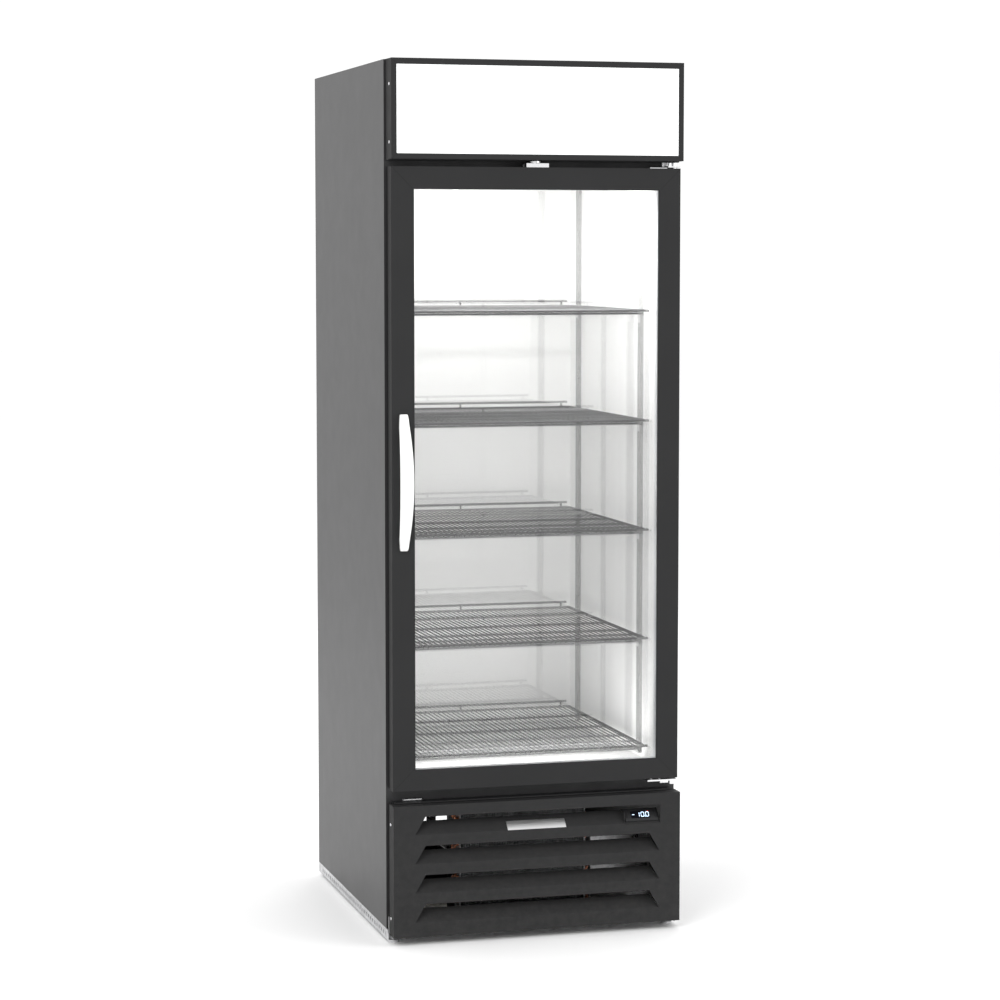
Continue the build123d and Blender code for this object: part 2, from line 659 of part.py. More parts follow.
# ---------------------------------------------------------------- lower grille and controls
def scoop(tip, left=-1.0, right=1.0):
    """Solid wedge of one louvre; its ends lean with the window's ends."""
    lean = LOUVRE_HALF - LOUVRE_TOP_HALF
    rear = LOUVRE_HALF - lean * LOUVRE_BLADE_H / LOUVRE_H
    top = tip + LOUVRE_H
    points = [
        (left * LOUVRE_HALF, 0, tip), (right * LOUVRE_HALF, 0, tip),
        (right * LOUVRE_TOP_HALF, 0, top), (left * LOUVRE_TOP_HALF, 0, top),
        (left * rear, LOUVRE_DEPTH, tip + LOUVRE_BLADE_H),
        (right * rear, LOUVRE_DEPTH, tip + LOUVRE_BLADE_H),
    ]
    faces = [(0, 1, 2, 3), (3, 2, 5, 4), (0, 4, 5, 1), (0, 3, 4), (1, 5, 2)]
    return polyhedron(points, faces)


def front_grille():
    """Folded black panel with four pressed-in louvres and the controller pocket."""
    half = FASCIA_HALF
    panel = block(-half, half, 0, GRILLE_DEPTH, GRILLE_BOTTOM, GRILLE_TOP)
    panel = panel - block(-half + SHEET, half - SHEET, SHEET, GRILLE_DEPTH + 1,
                          GRILLE_BOTTOM + SHEET, GRILLE_TOP - SHEET)
    panel = panel - block(-half + SHEET, half - SHEET, 20, GRILLE_DEPTH + 1, GRILLE_BOTTOM - 1, 60)
    blades = []
    for k in range(4):
        tip = LOUVRE_FIRST + LOUVRE_PITCH * k
        wedge = scoop(tip)
        panel = panel - wedge
        blades.append(wedge - Pos(*LOUVRE_SHIFT) * wedge)
    blades[3] = blades[3] & block(-300, 205, -5, 60, 200, 310)
    for blade in blades:
        panel = panel + blade
    pocket = block(205, 291, -1, SHEET + 1, 250, 293)
    panel = panel - pocket
    tray = CONTROL * Pos(0, -1.5, -0.75) * Box(87, 43, 1.5)
    tray = tray - CONTROL * Box(71, 28.6, 10)
    panel = panel + tray + block(203.5, 205, 0, 28, 250, 278)
    return panel


CONTROL = Plane(origin=(248, 17, 266), x_dir=(1, 0, 0), z_dir=(0, -LOUVRE_BLADE_H, LOUVRE_DEPTH))
BUTTON_PLACES = [(-32.5, 5), (-32.5, -5), (32.5, 5), (32.5, -5)]


def controller_housing():
    """Digital thermostat: bezel on the sloping tray and a body behind it."""
    bezel = CONTROL * Pos(0, 0, 2) * Box(78, 34, 4)
    bezel = bezel - CONTROL * Pos(-1, 0, 3.4) * Box(46, 20, 1.4)
    body = CONTROL * Pos(0, 0, -24) * Box(70.6, 28, 48)
    housing = bezel + body
    for u, v in BUTTON_PLACES:
        housing = housing - CONTROL * Pos(u, v, 2.5) * Cylinder(2.3, 5)
    return housing


def controller_display():
    return CONTROL * Pos(-1, 0, 3.4) * Box(45.6, 19.6, 1.2)


def controller_button(index):
    u, v = BUTTON_PLACES[index]
    return CONTROL * Pos(u, v, 2.9) * Cylinder(2.0, 3.4)


def name_plate():
    """Blank plate on the top louvre's slope."""
    slope = Plane(origin=(-4, 0, LOUVRE_FIRST + 3 * LOUVRE_PITCH), x_dir=(1, 0, 0),
                  z_dir=(0, -LOUVRE_BLADE_H, LOUVRE_DEPTH))
    face = (LOUVRE_SHIFT[2] * LOUVRE_DEPTH - LOUVRE_SHIFT[1] * LOUVRE_BLADE_H) / hypot(LOUVRE_DEPTH, LOUVRE_BLADE_H)
    return slope * Pos(0, 13.6, face + 0.4) * Box(138, 25, 0.8)


def panel_screws():
    """Screws in the sign's ends and in the grille's side returns."""
    screws = []
    for side in (-1, 1):
        x = side * FASCIA_HALF
        for z in (1799, 1926):
            screws.append(screw_head((x, 17, z), (side, 0, 0), 3.6, 2.0))
        for z in (60, 275):
            screws.append(screw_head((x, 24, z), (side, 0, 0), 3.6, 2.0))
    return screws


# ---------------------------------------------------------------- write every node
def build():
    left = side_panel()
    place("side_panel_left", left)
    place("side_panel_right", mirrored(left))
    place("back_panel", back_panel())
    place("top_panel", top_panel())
    place("inner_liner", inner_liner())
    place("insulation", insulation())
    place("front_frame", front_frame())
    place("header_panel", *header_panel())
    place("base_frame", base_frame())

    place("sign_frame", sign_frame())
    place("sign_lens", sign_lens())
    place("sign_light_bars", *sign_light_bars())

    place("door_frame", door_frame())
    place("door_glass_outer", pane(PANE_FRONT))
    place("door_glass_inner", pane(PANE_BACK - PANE))
    place("glass_spacer", glass_spacer())
    place("door_gasket", door_gasket())
    place("door_handle", door_handle())
    place("door_top_plates", *door_top_plates())
    place("hinge_bushes", *hinge_bushes())
    place("hinge_bracket_top", hinge_bracket_top())
    place("hinge_bracket_bottom", hinge_bracket_bottom())
    place("door_rest_plate", door_rest_plate())

    place("lock_barrel", lock_barrel())
    place("lock_plug", lock_plug())
    place("lock_bolt", lock_bolt())

    place("pilasters", *pilasters())
    place("shelf_clips", *shelf_clips())
    for k, z in enumerate(SHELF_Z):
        place(f"shelf_{k + 1}", shelf(z))
    place("interior_light", *interior_light())
    place("temperature_probe", temperature_probe())

    place("evaporator_cover", evaporator_cover())
    place("evaporator_coil", evaporator_coil())
    place("evaporator_fan", evaporator_fan())
    place("fan_motors", *fan_motors())

    place("condenser_coil", condenser_coil())
    place("condenser_shroud", condenser_shroud())
    place("condenser_fan", condenser_fan())
    place("compressor", compressor(), *compressor_mounts())
    place("refrigerant_lines", *refrigerant_lines())
    place("drip_pan", drip_pan())
    place("electrical_box", electrical_box())
    place("cable_gland", cable_gland())

    place("front_grille", front_grille())
    place("controller_housing", controller_housing())
    place("controller_display", controller_display())
    place("name_plate", name_plate())
    place("panel_screws", *panel_screws())
    for k in range(len(BUTTON_PLACES)):
        place(f"controller_button_{k + 1}", controller_button(k))
    for k, (x, y) in enumerate(foot_places()):
        place(f"levelling_foot_{k + 1}", Pos(x, y, 0) * levelling_foot())


build()
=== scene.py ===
from math import cos, hypot, pi, radians, sin

import bmesh
import bpy
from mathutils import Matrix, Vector


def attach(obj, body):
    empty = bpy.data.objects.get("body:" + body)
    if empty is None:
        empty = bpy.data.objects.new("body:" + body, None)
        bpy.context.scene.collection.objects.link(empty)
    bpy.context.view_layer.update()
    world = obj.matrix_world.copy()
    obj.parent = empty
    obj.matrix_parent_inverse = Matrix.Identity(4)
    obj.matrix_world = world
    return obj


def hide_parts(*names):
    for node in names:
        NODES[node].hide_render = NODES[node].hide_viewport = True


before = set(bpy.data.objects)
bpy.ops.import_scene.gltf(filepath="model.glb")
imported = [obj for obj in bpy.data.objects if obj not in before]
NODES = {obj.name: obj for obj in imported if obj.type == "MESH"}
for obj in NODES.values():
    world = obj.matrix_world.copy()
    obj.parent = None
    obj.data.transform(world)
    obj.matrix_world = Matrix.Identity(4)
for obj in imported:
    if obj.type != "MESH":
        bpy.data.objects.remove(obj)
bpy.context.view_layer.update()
SHIFT = -0.388            # the cabinet's front plane, in row Y
scene = bpy.context.scene
scene.view_settings.view_transform = "Standard"


def at(x, y, z):
    """A point from cabinet millimetres (Y from the front plane) to the row frame."""
    return Vector((x / 1000, y / 1000 + SHIFT, z / 1000))


# ---------------------------------------------------------------- camera, light, floor
def make_camera():
    azimuth, elevation = radians(-15.595), radians(4.966)
    back = Vector((sin(azimuth) * cos(elevation), -cos(azimuth) * cos(elevation), sin(elevation)))
    camera = bpy.data.objects.new("camera", bpy.data.cameras.new("camera"))
    camera.location = at(-1787.0, -6073.9, 1551.9)
    camera.rotation_mode = "QUATERNION"
    camera.rotation_quaternion = (-back).to_track_quat("-Z", "Y")
    camera.data.lens = 101.67
    camera.data.sensor_width = 36.0
    camera.data.clip_end = 200.0
    scene.collection.objects.link(camera)
    scene.camera = camera


def area_light(name, place, target, size, power, colour=(1, 1, 1)):
    lamp = bpy.data.lights.new(name, "AREA")
    lamp.shape = "RECTANGLE"
    lamp.size, lamp.size_y = size
    lamp.energy = power
    lamp.color = colour
    obj = bpy.data.objects.new(name, lamp)
    obj.location = place
    obj.rotation_mode = "QUATERNION"
    obj.rotation_quaternion = (Vector(target) - Vector(place)).to_track_quat("-Z", "Y")
    scene.collection.objects.link(obj)


def make_studio():
    world = bpy.data.worlds.new("studio")
    world.use_nodes = True
    world.node_tree.nodes["Background"].inputs["Color"].default_value = (1, 1, 1, 1)
    world.node_tree.nodes["Background"].inputs["Strength"].default_value = 1.05
    scene.world = world
    area_light("key", (-3.4, -4.2, 3.6), (0, 0, 1.0), (2.6, 2.6), 120)
    area_light("fill", (3.6, -3.0, 2.2), (0, 0, 1.0), (2.0, 2.6), 45)
    area_light("rear", (0.8, 4.5, 3.4), (0, 0, 1.0), (2.6, 2.0), 60)
    area_light("cabinet_lamp", at(0, 110, 1690), at(40, 520, 900), (0.50, 0.06), 5.0, (1.0, 1.0, 0.99))
    area_light("cabinet_low", at(0, 112, 400), at(0, 650, 720), (0.50, 0.06), 1.9, (1.0, 1.0, 0.99))

    bm = bmesh.new()
    bmesh.ops.create_circle(bm, cap_ends=True, segments=96, radius=40)
    floor = new_piece("floor", bm)
    floor.data.materials.append(surface("floor_white", (0.96, 0.96, 0.96), 0.75, vary=0.01, scale=1.5))


# ---------------------------------------------------------------- mesh helpers
def new_piece(name, bm, smooth_angle=35):
    mesh = bpy.data.meshes.new(name)
    bmesh.ops.recalc_face_normals(bm, faces=bm.faces)
    for edge in bm.edges:
        edge.smooth = len(edge.link_faces) == 2 and edge.calc_face_angle(0) < radians(smooth_angle)
    for face in bm.faces:
        face.smooth = True
    bm.to_mesh(mesh)
    bm.free()
    obj = bpy.data.objects.new(name, mesh)
    scene.collection.objects.link(obj)
    return obj


def finish_piece(obj, body, finish, replaced=()):
    obj.data.materials.append(finish)
    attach(obj, body)
    if replaced:
        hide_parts(*replaced)
    return obj


def bars(name, runs, resolution=2):
    """One mesh of round bars; each run is (points, radius, closed)."""
    bm = bmesh.new()
    by_radius = {}
    for points, radius, closed in runs:
        by_radius.setdefault(radius, []).append((points, closed))
    for radius, group in by_radius.items():
        curve = bpy.data.curves.new("bar", "CURVE")
        curve.dimensions = "3D"
        curve.bevel_depth = radius / 1000
        curve.bevel_resolution = resolution
        curve.use_fill_caps = True
        for points, closed in group:
            spline = curve.splines.new("POLY")
            spline.points.add(len(points) - 1)
            for target, point in zip(spline.points, points):
                target.co = (*at(*point), 1)
            spline.use_cyclic_u = closed
        holder = bpy.data.objects.new("bar", curve)
        mesh = bpy.data.meshes.new_from_object(holder)
        bm.from_mesh(mesh)
        bpy.data.objects.remove(holder)
        bpy.data.curves.remove(curve)
        bpy.data.meshes.remove(mesh)
    return new_piece(name, bm, 50)


def ring(name, profile, half, low, high):
    """A picture frame with mitred corners; profile points are (outward, Y) in millimetres."""
    bm = bmesh.new()
    loops = []
    for u, y in profile:
        corners = [(-half - u, low - u), (half + u, low - u), (half + u, high + u), (-half - u, high + u)]
        loops.append([bm.verts.new(at(x, y, z)) for x, z in corners])
    for k in range(len(loops)):
        a, b = loops[k], loops[(k + 1) % len(loops)]
        for i in range(4):
            j = (i + 1) % 4
            bm.faces.new((a[i], a[j], b[j], b[i]))
    return new_piece(name, bm, 40)


def rounded(corners, radius, steps=5):
    """A closed outline with its corners rounded, in 2-D."""
    made = []
    for k, corner in enumerate(corners):
        here = Vector(corner)
        back = (Vector(corners[k - 1]) - here).normalized()
        ahead = (Vector(corners[(k + 1) % len(corners)]) - here).normalized()
        start, end = here + back * radius, here + ahead * radius
        for i in range(steps + 1):
            t = i / steps
            made.append(tuple(start * (1 - t) ** 2 + here * 2 * t * (1 - t) + end * t ** 2))
    return made


def slab(bm, outline, low, high, place=lambda x, y, z: at(x, y, z)):
    """A prism from a 2-D outline between two heights of the given placing."""
    bottom = [bm.verts.new(place(x, y, low)) for x, y in outline]
    top = [bm.verts.new(place(x, y, high)) for x, y in outline]
    bm.faces.new(bottom[::-1])
    bm.faces.new(top)
    for k in range(len(outline)):
        j = (k + 1) % len(outline)
        bm.faces.new((bottom[k], bottom[j], top[j], top[k]))


# ---------------------------------------------------------------- materials
def surface(name, colour, rough, metal=0.0, vary=0.06, scale=6.0, stretch=(1, 1, 1), rough_vary=0.08,
            bump=0.0, bump_scale=700.0, specular=0.5, coat=0.0, dust=0.0, spangle=0.0, seams=None, emboss=0.0,
            emission=0.0, sheen=0.0, painted_shade_flank=None):
    """A painted, moulded or metal finish with cloudy colour, uneven gloss and a fine relief; given a
    half-width, it also paints shade onto the side faces beyond it.
    """
    mat = bpy.data.materials.new(name)
    mat.use_nodes = True
    tree = mat.node_tree
    nodes, link = tree.nodes, tree.links.new
    shader = nodes["Principled BSDF"]
    shader.inputs["Metallic"].default_value = metal
    shader.inputs["Specular IOR Level"].default_value = specular
    shader.inputs["Coat Weight"].default_value = coat
    shader.inputs["Coat Roughness"].default_value = 0.15
    shader.inputs["Sheen Weight"].default_value = sheen
    shader.inputs["Emission Strength"].default_value = emission
    shader.inputs["Emission Color"].default_value = (*colour, 1)
    place = nodes.new("ShaderNodeTexCoord").outputs["Object"]
    mapping = nodes.new("ShaderNodeMapping")
    mapping.inputs["Scale"].default_value = stretch
    link(place, mapping.inputs["Vector"])
    here = mapping.outputs["Vector"]

    def noise(size, detail=5.0, rough_in=0.55):
        node = nodes.new("ShaderNodeTexNoise")
        node.inputs["Scale"].default_value = size
        node.inputs["Detail"].default_value = detail
        node.inputs["Roughness"].default_value = rough_in
        link(here, node.inputs["Vector"])
        return node.outputs["Fac"]

    def spread(value, low, high, from_low=0.3, from_high=0.7):
        node = nodes.new("ShaderNodeMapRange")
        node.inputs["From Min"].default_value = from_low
        node.inputs["From Max"].default_value = from_high
        node.inputs["To Min"].default_value = low
        node.inputs["To Max"].default_value = high
        link(value, node.inputs["Value"])
        return node.outputs["Result"]

    def blend(fac, a, b, mode="MIX"):
        node = nodes.new("ShaderNodeMix")
        node.data_type = "RGBA"
        node.blend_type = mode
        for socket, value in ((node.inputs["Factor"], fac), (node.inputs[6], a), (node.inputs[7], b)):
            if isinstance(value, (tuple, float)):
                socket.default_value = value
            else:
                link(value, socket)
        return node.outputs[2]

    def maths(kind, a, b=None):
        node = nodes.new("ShaderNodeMath")
        node.operation = kind
        for socket, value in zip(node.inputs, (a, b)):
            if isinstance(value, (int, float)):
                socket.default_value = value
            elif value is not None:
                link(value, socket)
        return node.outputs["Value"]

    dark = (*[c * (1 - vary) for c in colour], 1)
    light = (*[min(1, c * (1 + vary)) for c in colour], 1)
    tone = blend(spread(noise(scale), 0, 1), dark, light)
    gloss = spread(noise(scale * 3.1, 6.0), rough - rough_vary, rough + rough_vary)
    height = noise(bump_scale, 2.0) if bump else None
    if spangle:
        cells = nodes.new("ShaderNodeTexVoronoi")
        cells.inputs["Scale"].default_value = 110.0
        link(here, cells.inputs["Vector"])
        grey = nodes.new("ShaderNodeRGBToBW")
        link(cells.outputs["Color"], grey.inputs["Color"])
        shade = spread(grey.outputs["Val"], 1 - spangle, 1 + spangle, 0.2, 0.8)
        scaled = nodes.new("ShaderNodeVectorMath")
        scaled.operation = "SCALE"
        link(tone, scaled.inputs[0])
        link(shade, scaled.inputs["Scale"])
        tone = scaled.outputs["Vector"]
    parts = nodes.new("ShaderNodeSeparateXYZ")
    link(place, parts.inputs["Vector"])
    if dust:
        low = spread(parts.outputs["Z"], 1, 0, 0.0, 0.45)
        speck = maths("MULTIPLY", low, spread(noise(60, 8.0, 0.7), 0, dust, 0.35, 0.75))
        tone = blend(speck, tone, (0.42, 0.40, 0.37, 1))
        gloss = maths("ADD", gloss, maths("MULTIPLY", speck, 0.5))
    if seams:
        half, bottom, top = seams
        side = maths("SUBTRACT", maths("ABSOLUTE", parts.outputs["X"]), half)
        up = maths("SUBTRACT", parts.outputs["Z"], top)
        down = maths("SUBTRACT", bottom, parts.outputs["Z"])
        end = maths("MAXIMUM", up, down)
        near = maths("ABSOLUTE", maths("SUBTRACT", side, end))
        line = spread(near, 1, 0, 0.00025, 0.0006)
        tone = blend(maths("MULTIPLY", line, 0.75), tone, (0.002, 0.002, 0.002, 1))
    # Painted shade: faces beyond this half-width (the side faces) blend to near black, standing in for the
    # shade in the gap beside the cabinet.
    if painted_shade_flank:
        side = maths("ABSOLUTE", parts.outputs["X"])
        flank_shade_mask = spread(side, 0, 0.5, painted_shade_flank - 0.0006, painted_shade_flank - 0.0002)
        tone = blend(flank_shade_mask, tone, (0.006, 0.006, 0.006, 1))
    if emboss:
        cells = nodes.new("ShaderNodeTexVoronoi")
        cells.feature = "SMOOTH_F1"
        cells.inputs["Scale"].default_value = 260.0
        link(here, cells.inputs["Vector"])
        height = cells.outputs["Distance"]
        bump = emboss
    link(tone, shader.inputs["Base Color"])
    link(gloss, shader.inputs["Roughness"])
    if height is not None:
        relief = nodes.new("ShaderNodeBump")
        relief.inputs["Distance"].default_value = bump
        relief.inputs["Strength"].default_value = 0.6
        link(height, relief.inputs["Height"])
        link(relief.outputs["Normal"], shader.inputs["Normal"])
    return mat


def glass(name):
    """Clear glass, thinned by alpha so that both panes let the inside show."""
    mat = surface(name, (0.97, 0.975, 0.97), 0.03, vary=0.01, scale=2.0, rough_vary=0.02, specular=0.5)
    shader = mat.node_tree.nodes["Principled BSDF"]
    shader.inputs["Transmission Weight"].default_value = 1.0
    shader.inputs["IOR"].default_value = 1.45
    shader.inputs["Alpha"].default_value = 0.16
    mat.surface_render_method = "BLENDED"
    return mat


def lit_lens(name, lamps, strength, fall, axis="Z"):
    """Milky acrylic lit from behind by rows of lamps at the given places along one axis."""
    mat = surface(name, (0.93, 0.94, 0.94), 0.28, vary=0.012, scale=3.0, bump=0.00003, bump_scale=400)
    tree = mat.node_tree
    nodes, link = tree.nodes, tree.links.new
    shader = nodes["Principled BSDF"]
    place = nodes.new("ShaderNodeTexCoord").outputs["Object"]
    parts = nodes.new("ShaderNodeSeparateXYZ")
    link(place, parts.inputs["Vector"])
    total = None
    for lamp in lamps:
        gap = nodes.new("ShaderNodeMath")
        gap.operation = "SUBTRACT"
        gap.inputs[1].default_value = lamp
        link(parts.outputs[axis], gap.inputs[0])
        near = nodes.new("ShaderNodeMath")
        near.operation = "ABSOLUTE"
        link(gap.outputs[0], near.inputs[0])
        glow = nodes.new("ShaderNodeMapRange")
        glow.interpolation_type = "SMOOTHSTEP"
        glow.inputs["From Max"].default_value = fall
        glow.inputs["To Min"].default_value = strength
        glow.inputs["To Max"].default_value = strength * 0.6
        link(near.outputs[0], glow.inputs["Value"])
        if total is None:
            total = glow.outputs["Result"]
        else:
            most = nodes.new("ShaderNodeMath")
            most.operation = "MAXIMUM"
            link(total, most.inputs[0])
            link(glow.outputs["Result"], most.inputs[1])
            total = most.outputs[0]
    shader.inputs["Emission Color"].default_value = (0.97, 0.985, 1.0, 1)
    link(total, shader.inputs["Emission Strength"])
    return mat


BLACK = (0.0125, 0.0125, 0.0132)
FRONT_BLACK = (0.0205, 0.0205, 0.021)


def make_materials():
    paint = dict(bump=0.00006, bump_scale=850, rough_vary=0.03, vary=0.05, specular=0.15)
    skin = dict(bump=0.00005, bump_scale=850, rough_vary=0.012, vary=0.02, dust=0.03)
    return {
        # The side-face darkening on the powder, door and sign finishes is painted shade for the gap beside
        # the cabinet.
        "powder": surface("powder_black", FRONT_BLACK, 0.60, painted_shade_flank=0.339, dust=0.03, **paint),
        "skin": surface("powder_black_skin", BLACK, 0.40, **skin),
        "door": surface("powder_black_door", FRONT_BLACK, 0.58, seams=(0.337, 0.351, 1.746), painted_shade_flank=0.337,
                        **paint),
        "sign": surface("powder_black_sign", FRONT_BLACK, 0.58, seams=(0.339, 1.762, 1.982), painted_shade_flank=0.339,
                        **paint),
        "breaker": surface("plastic_breaker", (0.014, 0.014, 0.015), 0.55, bump=0.00004, vary=0.12),
        "plastic": surface("plastic_black", (0.017, 0.017, 0.018), 0.45, bump=0.00005, bump_scale=500,
                           vary=0.12),
        "liner": surface("liner_white", (0.90, 0.90, 0.895), 0.42, vary=0.012, rough_vary=0.05,
                         emboss=0.0005),
        "cover": surface("cover_white", (0.87, 0.87, 0.865), 0.38, bump=0.00005, vary=0.015),
        "bow": surface("handle_white", (0.86, 0.86, 0.855), 0.30, bump=0.00003, bump_scale=300, vary=0.02,
                       coat=0.2),
        "zinc": surface("zinc_plate", (0.60, 0.60, 0.61), 0.36, metal=1.0, spangle=0.12, vary=0.05,
                        rough_vary=0.10, bump=0.00002, bump_scale=300),
        "upright": surface("upright_zinc", (0.07, 0.07, 0.071), 0.50, vary=0.05,
                           stretch=(1, 1, 0.15), bump=0.00003, bump_scale=500),
        "bright": surface("bright_steel", (0.80, 0.80, 0.81), 0.24, metal=1.0, vary=0.04,
                          stretch=(0.12, 1, 1), bump=0.00003, bump_scale=900, scale=30),
        "wire": surface("wire_grey", (0.085, 0.085, 0.087), 0.50, vary=0.07, bump=0.00003, bump_scale=600,
                        scale=14),
        "alu": surface("fin_aluminium", (0.58, 0.59, 0.60), 0.40, metal=1.0, vary=0.08, stretch=(1, 1, 0.2),
                       bump=0.00003),
        "spacer": surface("spacer_aluminium", (0.74, 0.75, 0.76), 0.36, metal=0.6, vary=0.03, bump=0.00002),
        "rubber": surface("seal_rubber", (0.018, 0.018, 0.019), 0.62, bump=0.00006, vary=0.12, sheen=0.1),
        "foam": surface("foam_beige", (0.70, 0.60, 0.36), 0.85, vary=0.12, scale=40, emboss=0.0009),
        "copper": surface("copper_tube", (0.52, 0.22, 0.13), 0.30, metal=1.0, vary=0.25, scale=25,
                          rough_vary=0.15, bump=0.00003),
        "shell": surface("enamel_black", (0.010, 0.010, 0.011), 0.24, vary=0.15, bump=0.0001, bump_scale=160,
                         coat=0.3),
        "screen": surface("display_black", (0.006, 0.006, 0.009), 0.16, vary=0.2, coat=0.5, bump=0.00001),
        "plate": surface("plate_silver", (0.90, 0.90, 0.90), 0.35, metal=1.0, vary=0.05, stretch=(0.05, 1, 1),
                         scale=90, bump=0.00003, bump_scale=900),
        "motor": surface("motor_cast", (0.42, 0.42, 0.43), 0.5, metal=0.9, vary=0.1, bump=0.0002,
                         bump_scale=260),
        "glass": glass("door_glass"),
        "sign_lens": lit_lens("sign_acrylic", (1.817, 1.927), 0.30, 0.075),
        "strip_lens": lit_lens("strip_acrylic", (0.65, 1.05, 1.45), 2.2, 0.30),
        "lamp": surface("lamp_rail_white", (0.88, 0.88, 0.87), 0.4, vary=0.03, bump=0.00004, emission=0.4),
        "digit": surface("digit_glow", (0.62, 0.80, 1.0), 0.4, vary=0.02, emission=1.6, bump=0.00001),
        "red": surface("red_glow", (1.0, 0.10, 0.05), 0.4, vary=0.02, emission=1.2, bump=0.00001),
    }


FINISH_OF = {
    "skin": ["side_panel_left", "side_panel_right", "top_panel"],
    "powder": ["header_panel", "front_grille"],
    "door": ["door_frame"],
    "sign": ["sign_frame"],
    "breaker": ["front_frame"],
    "plastic": ["hinge_bushes", "evaporator_fan", "condenser_fan", "condenser_shroud", "controller_housing",
                "controller_button_1", "controller_button_2", "controller_button_3", "controller_button_4",
                "cable_gland", "drip_pan"],
    "liner": ["inner_liner"],
    "cover": ["evaporator_cover", "temperature_probe"],
    "zinc": ["back_panel", "base_frame", "shelf_clips", "electrical_box", "levelling_foot_1",
             "levelling_foot_2", "levelling_foot_3", "levelling_foot_4"],
    "upright": ["pilasters"],
    "bright": ["hinge_bracket_top", "hinge_bracket_bottom", "door_rest_plate", "lock_barrel", "lock_plug",
               "lock_bolt", "door_top_plates", "panel_screws"],
    "motor": ["fan_motors"],
    "alu": ["evaporator_coil", "condenser_coil"],
    "spacer": ["glass_spacer"],
    "foam": ["insulation"],
    "copper": ["refrigerant_lines"],
    "shell": ["compressor"],
    "screen": ["controller_display"],
    "plate": ["name_plate"],
    "glass": ["door_glass_outer", "door_glass_inner"],
    "sign_lens": ["sign_lens"],
    "strip_lens": ["interior_light"],
    "lamp": ["sign_light_bars"],
}


def dress_nodes(mats):
    for key, names in FINISH_OF.items():
        for name in names:
            data = NODES[name].data
            data.materials.clear()
            data.materials.append(mats[key])


def soften(name, width):
    """Rounded edges on a folded or extruded node, as modifiers only."""
    obj = NODES[name]
    weld = obj.modifiers.new("weld", "WELD")
    weld.merge_threshold = 0.00001
    bevel = obj.modifiers.new("bevel", "BEVEL")
    bevel.width = width / 1000
    bevel.segments = 2
    bevel.limit_method = "ANGLE"
    bevel.angle_limit = radians(40)
    bevel.harden_normals = False
    obj.modifiers.new("normals", "WEIGHTED_NORMAL")


# ---------------------------------------------------------------- wire shelves
TOP_SHELF, SHELF_PITCH = 1424.0, 252.5
CROSS_Y = (160.0, 243.0, 385.0, 545.0)
FRONT_Y, REAR_Y, RAIL_Y = 91.0, 690.0, 695.0
FRONT_HALF, SIDE_HALF, RAIL_HALF = 289.0, 283.0, 276.0
FINGER_GAPS = 47


def make_shelf(index, mats):
    z = TOP_SHELF - SHELF_PITCH * index
    runs = [([(-FRONT_HALF, FRONT_Y, z), (FRONT_HALF, FRONT_Y, z)], 3.0, False),
            ([(-SIDE_HALF, REAR_Y, z), (SIDE_HALF, REAR_Y, z)], 3.0, False)]
    for x in (-SIDE_HALF, SIDE_HALF):
        runs.append(([(x, 89, z), (x, 692, z)], 2.9, False))
    for y in CROSS_Y:
        runs.append(([(-SIDE_HALF, y, z - 0.4), (SIDE_HALF, y, z - 0.4)], 2.6, False))
    pitch = 2 * SIDE_HALF / FINGER_GAPS
    for k in range(1, FINGER_GAPS):
        x = -SIDE_HALF + pitch * k
        front = [(x, 697.5, z + 1.4), (x, 93, z + 1.4), (x, 90.6, z + 0.8),
                 (x, 89.6, z - 1), (x, 89.6, z - 8.6)]
        runs.append((front, 1.45, False))
    runs.append(([(-272, FRONT_Y, z - 6.4), (272, FRONT_Y, z - 6.4)], 2.5, False))
    for x in (-266, 266):
        runs.append(([(x, FRONT_Y, z - 6.4), (x, FRONT_Y, z)], 2.5, False))
    runs.append(([(-RAIL_HALF, RAIL_Y, z + 13), (RAIL_HALF, RAIL_Y, z + 13)], 2.9, False))
    for x in (-261, 0, 261):
        runs.append(([(x, RAIL_Y - 2.5, z - 2.6), (x, RAIL_Y, z + 13)], 2.4, False))
    shelf = bars(f"wire_shelf_{index + 1}", runs)
    body = f"shelf_{index + 1}"
    finish_piece(shelf, body, mats["wire"], [body])


# ---------------------------------------------------------------- door pull
def make_handle(mats):
    """Bow lofted along its height: rounded section, widest and furthest out in the middle."""
    low, high, reach, face = 894.0, 1199.0, 31.0, 13.0
    middle, span = (low + high) / 2, (high - low) / 2

    def arc(z, ends, peak, half):
        radius = (half ** 2 + (ends - peak) ** 2) / (2 * abs(ends - peak))
        return peak + radius - (radius ** 2 - min(half, abs(z - middle)) ** 2) ** 0.5

    stations = [low + 0.2, low + 0.8, low + 2.2, low + 5]
    stations += [low + 8 + (2 * span - 16) * k / 56 for k in range(57)]
    stations += [high - 5, high - 2.2, high - 0.8, high - 0.2]
    bm = bmesh.new()
    rings = []
    for z in stations:
        end = min(z - low, high - z)
        shrink = 1 - max(0, 1 - end / 5) ** 3 * 0.35
        front = arc(z, 0, -reach, span) + (1 - shrink) * 9
        rear = face if abs(z - middle) > span - 26 else arc(z, face, -reach + 10, span - 26)
        rear = min(face, rear)
        wide = (9 + 6.5 * (1 - (abs(z - middle) / span) ** 2)) * (0.5 + 0.5 * shrink)
        loop = []
        for k in range(24):
            a = 2 * pi * k / 24
            cx = abs(cos(a)) ** 0.5 * (1 if cos(a) >= 0 else -1)
            cy = abs(sin(a)) ** 0.62 * (1 if sin(a) >= 0 else -1)
            y = (front + rear) / 2 + cy * (rear - front) / 2
            loop.append(bm.verts.new(at(-311.5 + wide * cx, y, z)))
        rings.append(loop)
    for a, b in zip(rings, rings[1:]):
        for i in range(24):
            j = (i + 1) % 24
            bm.faces.new((a[i], a[j], b[j], b[i]))
    bm.faces.new(rings[0][::-1])
    bm.faces.new(rings[-1])
    handle = new_piece("handle_bow", bm, 60)
    finish_piece(handle, "door", mats["bow"], ["door_handle"])


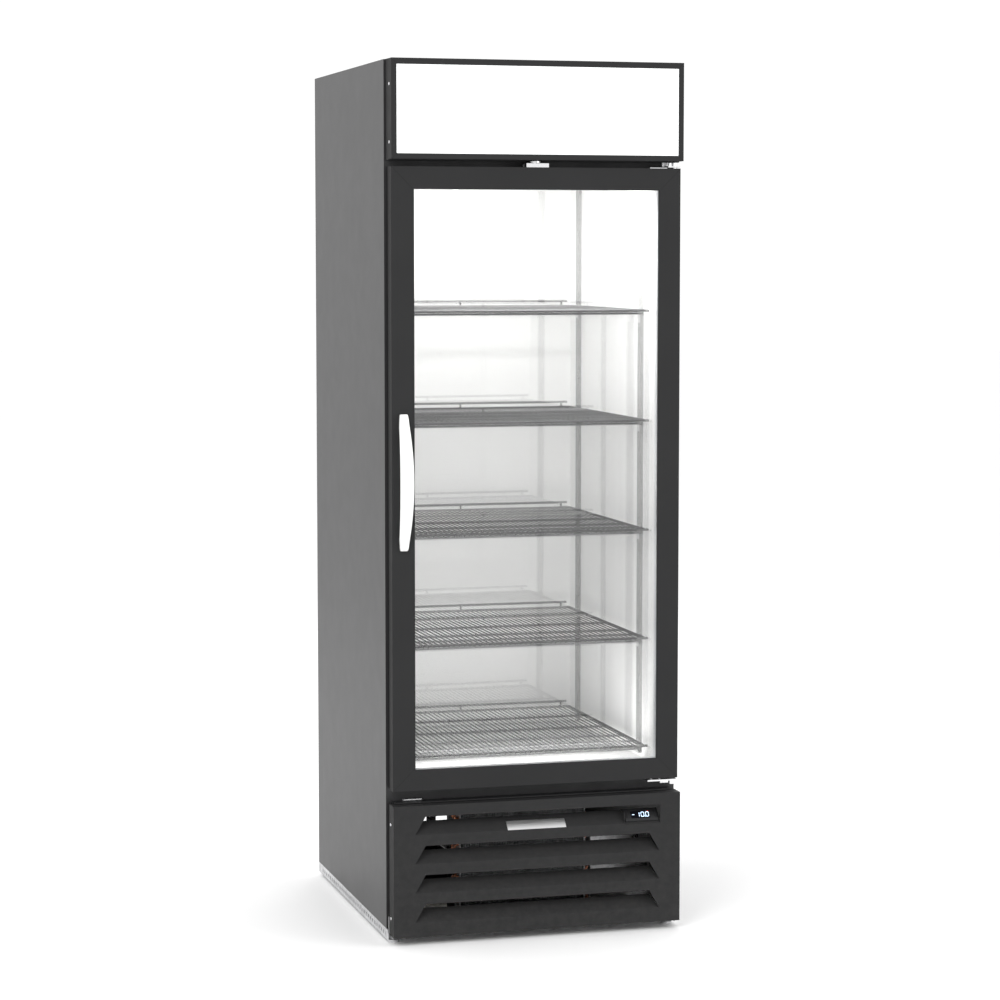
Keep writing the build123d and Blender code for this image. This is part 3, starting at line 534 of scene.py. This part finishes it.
# ---------------------------------------------------------------- door seal
def make_gasket(mats):
    """Bellows gasket: a dart side on the door, one fold and a magnet pocket towards the cabinet."""
    profile = [(-9, 48.0), (-9, 49.2), (-6.5, 50.0), (-8.2, 51.2), (-8.4, 52.6), (-7.2, 53.4), (-8.6, 54.6),
               (-8.6, 56.2), (-7.6, 56.9), (7.6, 56.9), (8.6, 56.2), (8.6, 54.6), (7.2, 53.4), (8.4, 52.6),
               (8.2, 51.2), (6.5, 50.0), (9, 49.2), (9, 48.0)]
    gasket = ring("gasket_bellows", profile, 309, 364, 1733)
    finish_piece(gasket, "door", mats["rubber"], ["door_gasket"])


# ---------------------------------------------------------------- controller face
SLOPE = hypot(28.0, 30.0)
UP = Vector((0, 30 / SLOPE, 28 / SLOPE))
OUT = Vector((0, -28 / SLOPE, 30 / SLOPE))


def on_control(u, v, w):
    return at(248, 17, 266) + (Vector((u, 0, 0)) + UP * v + OUT * w) / 1000


SEGMENTS = {"0": "abcdef", "1": "bc", "-": "g"}
STROKES = {"a": (0, 1, 1), "d": (0, -1, 1), "g": (0, 0, 1), "b": (1, 0.5, 0), "c": (1, -0.5, 0),
           "f": (-1, 0.5, 0), "e": (-1, -0.5, 0)}


def make_controls(mats):
    bm = bmesh.new()
    wide, tall, lean = 3.4, 6.2, 0.10
    for slot, sign in enumerate("-100"):
        centre = -17.8 + slot * 11.2
        for stroke in SEGMENTS[sign]:
            across, up, flat = STROKES[stroke]
            cu, cv = centre + across * wide, up * tall
            length, thick = (wide - 0.6, 0.8) if flat else (tall / 2 - 0.6, 0.8)
            du, dv = (length, thick) if flat else (thick, length)
            corners = [(cu - du, cv - dv), (cu + du, cv - dv), (cu + du, cv + dv), (cu - du, cv + dv)]
            outline = rounded(corners, 0.5, 2)
            slab(bm, [(u + lean * v, v) for u, v in outline], 4.02, 4.16, on_control)
    dot = rounded([(9.0, -7.0), (10.7, -7.0), (10.7, -5.3), (9.0, -5.3)], 0.5, 2)
    slab(bm, dot, 4.02, 4.16, on_control)
    digits = new_piece("readout_digits", bm)
    finish_piece(digits, "cabinet", mats["digit"])

    bm = bmesh.new()
    slab(bm, rounded([(17.4, 7.8), (19.6, 7.8), (19.6, 9.0), (17.4, 9.0)], 0.5, 3), 4.02, 4.2, on_control)
    lamp = new_piece("status_lamp", bm)
    finish_piece(lamp, "cabinet", mats["red"])


# ---------------------------------------------------------------- small hardware
def make_bracket_screws(mats):
    """Countersunk heads on the lower hinge bracket."""
    bm = bmesh.new()
    for x, y in ((276, 24), (296, 24), (276, 42), (296, 42)):
        for low, high, r in ((348, 348.5, 4.0), (348.5, 348.8, 3.2)):
            outline = [(x + r * cos(2 * pi * k / 20), y + r * sin(2 * pi * k / 20)) for k in range(20)]
            slab(bm, outline, low, high)
    screws = new_piece("bracket_screws", bm)
    finish_piece(screws, "cabinet", mats["bright"])


make_camera()
materials = make_materials()
make_studio()
dress_nodes(materials)
for shelf_index in range(5):
    make_shelf(shelf_index, materials)
make_handle(materials)
make_gasket(materials)
make_controls(materials)
make_bracket_screws(materials)
for softened, softness in (("door_frame", 0.8), ("sign_frame", 0.5)):
    soften(softened, softness)
